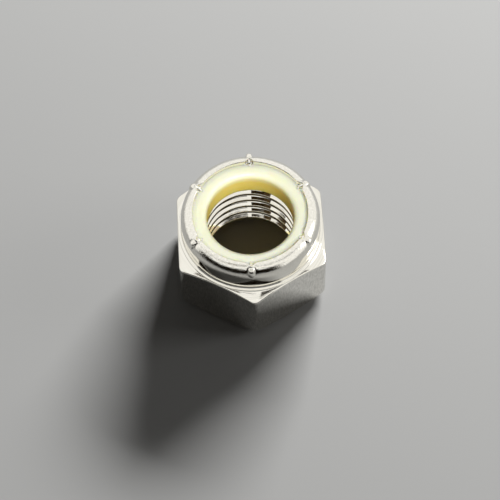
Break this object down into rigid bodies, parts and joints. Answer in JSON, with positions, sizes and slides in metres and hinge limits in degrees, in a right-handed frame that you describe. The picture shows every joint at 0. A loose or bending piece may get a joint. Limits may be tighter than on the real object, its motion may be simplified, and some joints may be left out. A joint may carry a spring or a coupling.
{
  "type": "nylon insert lock nut",
  "caption": "Hexagon lock nut with a round collar crimped over a nylon ring that grips the bolt thread.",
  "frame": {"origin": "centre of the bearing face", "axes": "+Z along the bore from the bearing face towards the nylon insert; hexagon corners on +Y and -Y, flats facing +X and -X"},
  "size_m": [0.0158, 0.018, 0.0114],
  "materials": {
    "stainless": "bright polished stainless steel",
    "nylon": "satin natural nylon, slightly translucent"
  },
  "bodies": {
    "root": {"nut_body": "stainless", "nylon_insert": "nylon"}
  },
  "joints": []
}
